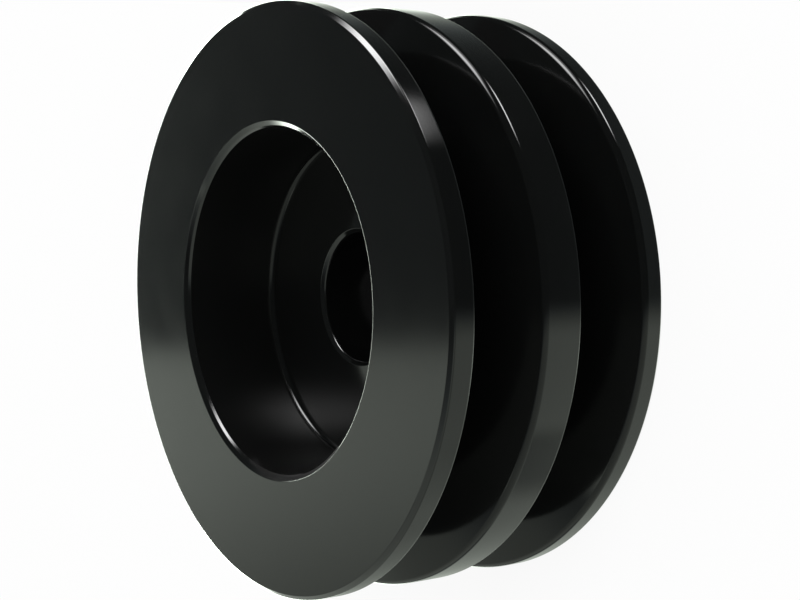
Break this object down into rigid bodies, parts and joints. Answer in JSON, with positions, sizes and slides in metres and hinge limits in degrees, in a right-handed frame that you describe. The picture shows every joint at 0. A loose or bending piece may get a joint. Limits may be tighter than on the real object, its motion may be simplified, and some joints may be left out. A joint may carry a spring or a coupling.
{
  "type": "alternator pulley",
  "caption": "Black turned steel belt pulley with V-grooves round the rim, a deep nut recess in its front face and a plain shaft bore through the hub.",
  "frame": {"origin": "middle of the rear face, on the shaft axis, where the pulley stands on its rear end", "axes": "+Z along the shaft axis, out of the front face with the nut recess; X and Y across it"},
  "size_m": [0.076, 0.076, 0.032],
  "materials": {
    "black_steel": "thin satin black coat over turned steel"
  },
  "bodies": {
    "root": {"pulley": "black_steel"}
  },
  "joints": []
}
